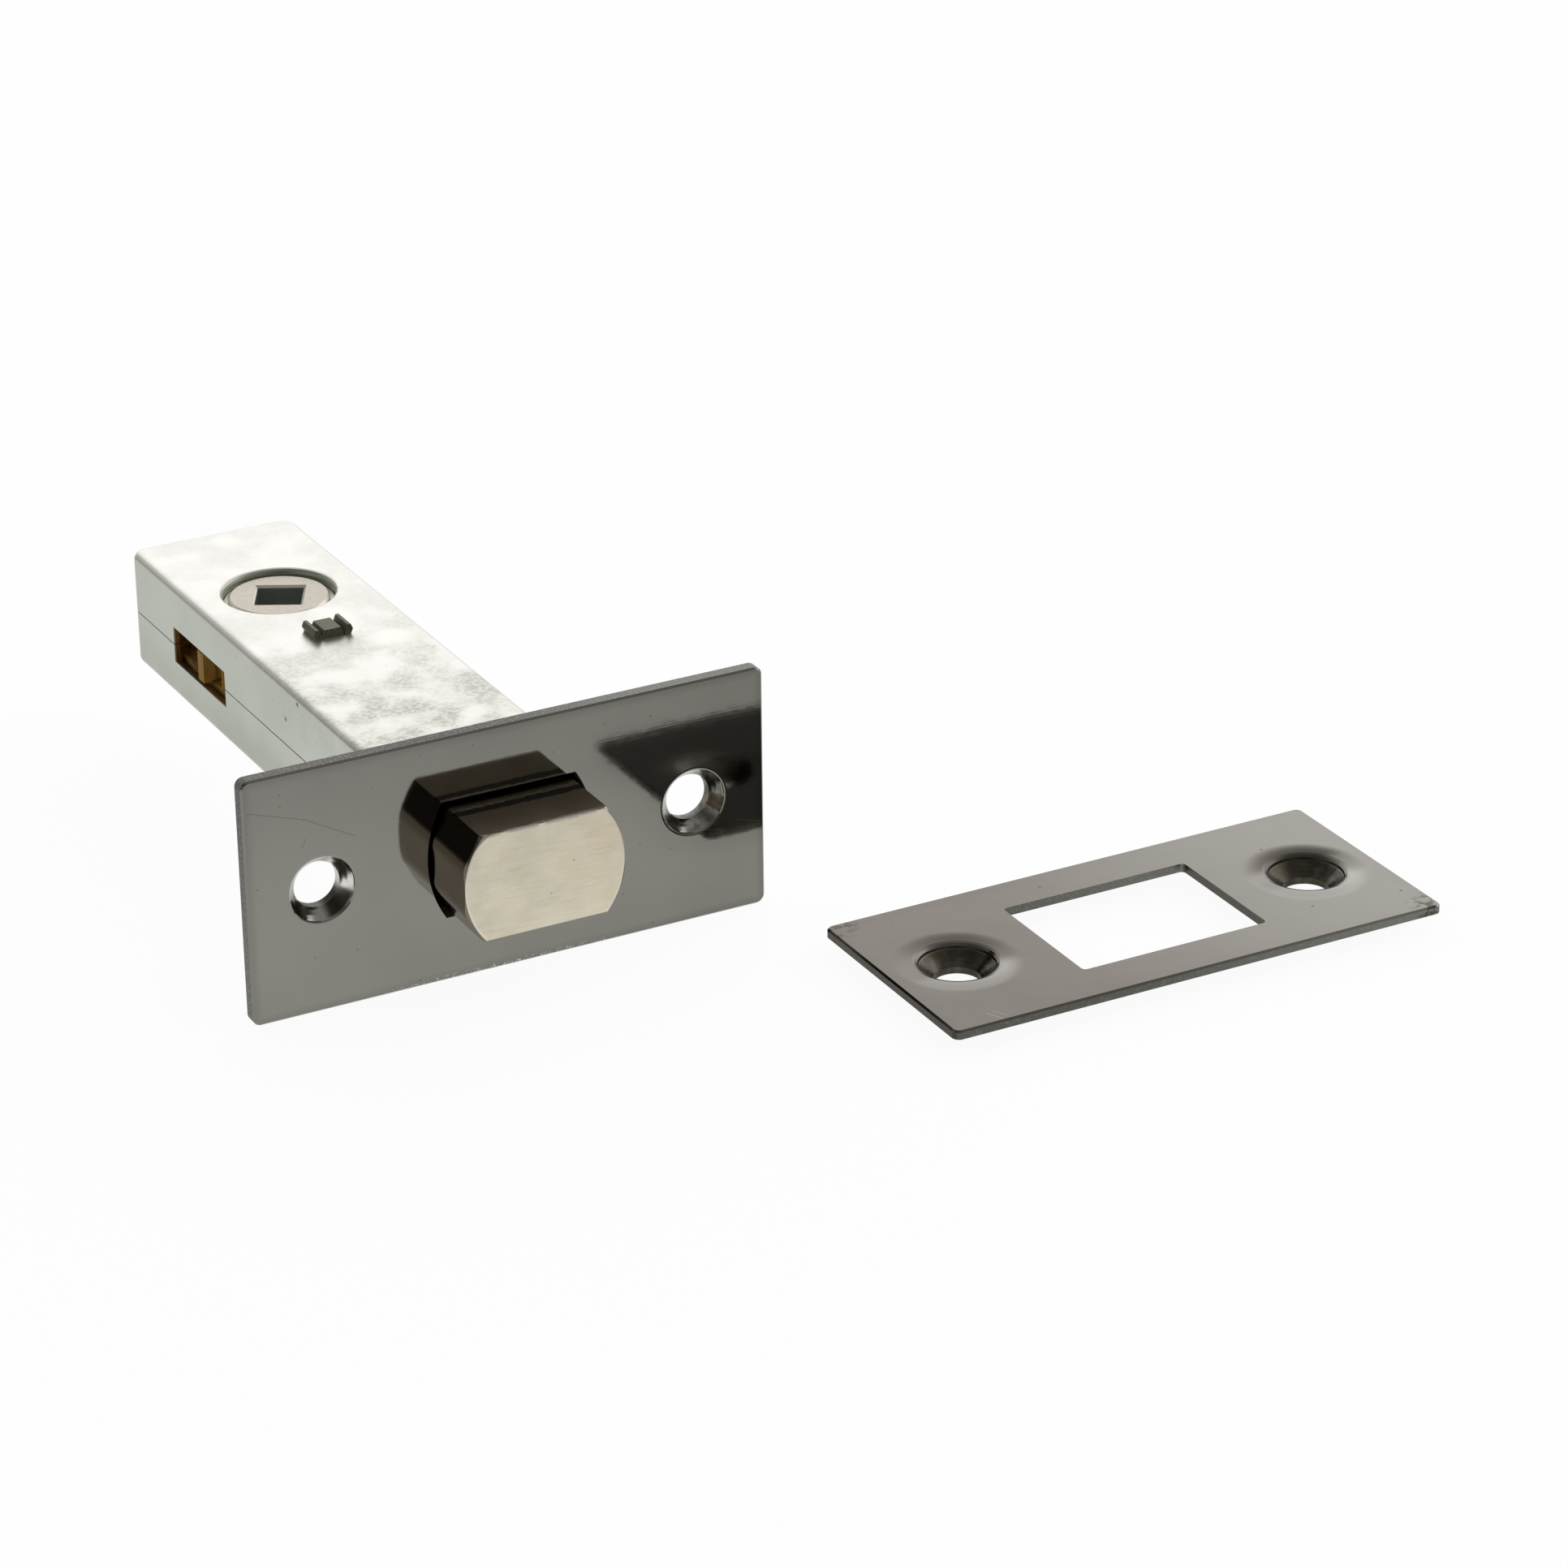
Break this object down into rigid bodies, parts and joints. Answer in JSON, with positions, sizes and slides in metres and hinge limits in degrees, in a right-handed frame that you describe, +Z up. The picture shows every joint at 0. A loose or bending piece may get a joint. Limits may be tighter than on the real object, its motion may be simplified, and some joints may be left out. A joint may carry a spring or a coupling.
{
  "type": "tubular deadbolt",
  "caption": "Tubular deadbolt: a flat forend, a pressed rectangular case, a double-D bolt thrown by a square-holed hub, and a loose strike plate.",
  "frame": {"origin": "centre of the forend's front face, midway between its two screw holes", "axes": "+X along the forend, the bolt leaves towards -Y and the case runs back along +Y, +Z up as the lock lies on the forend's long edge"},
  "size_m": [0.114, 0.1151, 0.0264],
  "materials": {
    "black_nickel": "satin black nickel plate",
    "bolt_nickel": "black nickel plate, worn satin on the front",
    "plain_steel": "plain steel",
    "case_zinc": "bright zinc plate",
    "tie_steel": "sheared and staked steel",
    "hub_alloy": "cast alloy with a yellow passivated fork"
  },
  "bodies": {
    "case": {"forend_plate": "black_nickel", "case_upper_shell": "case_zinc", "case_lower_shell": "case_zinc", "case_tie": "tie_steel", "detent_spring": "plain_steel", "strike_plate": "black_nickel"},
    "bolt": {"bolt_head": "bolt_nickel", "bolt_tail": "plain_steel", "tail_rivet_left": "plain_steel", "tail_rivet_right": "plain_steel", "drive_pin": "plain_steel"},
    "hub": {"follower": "hub_alloy"}
  },
  "joints": [
    {"name": "bolt_slide", "type": "slide", "parent": "case", "child": "bolt", "axis": [0, 1, 0], "range_m": [-0.00417, 0.00783]},
    {"name": "hub_turn", "type": "hinge", "parent": "case", "child": "hub", "pos_m": [0, 0.057, 0], "axis": [0, 0, 1], "range_deg": [-61.8, 32.9]}
  ],
  "couplings": [
    {"joint": "hub_turn", "follows": "bolt_slide", "rad_per_m": -137.55}
  ]
}
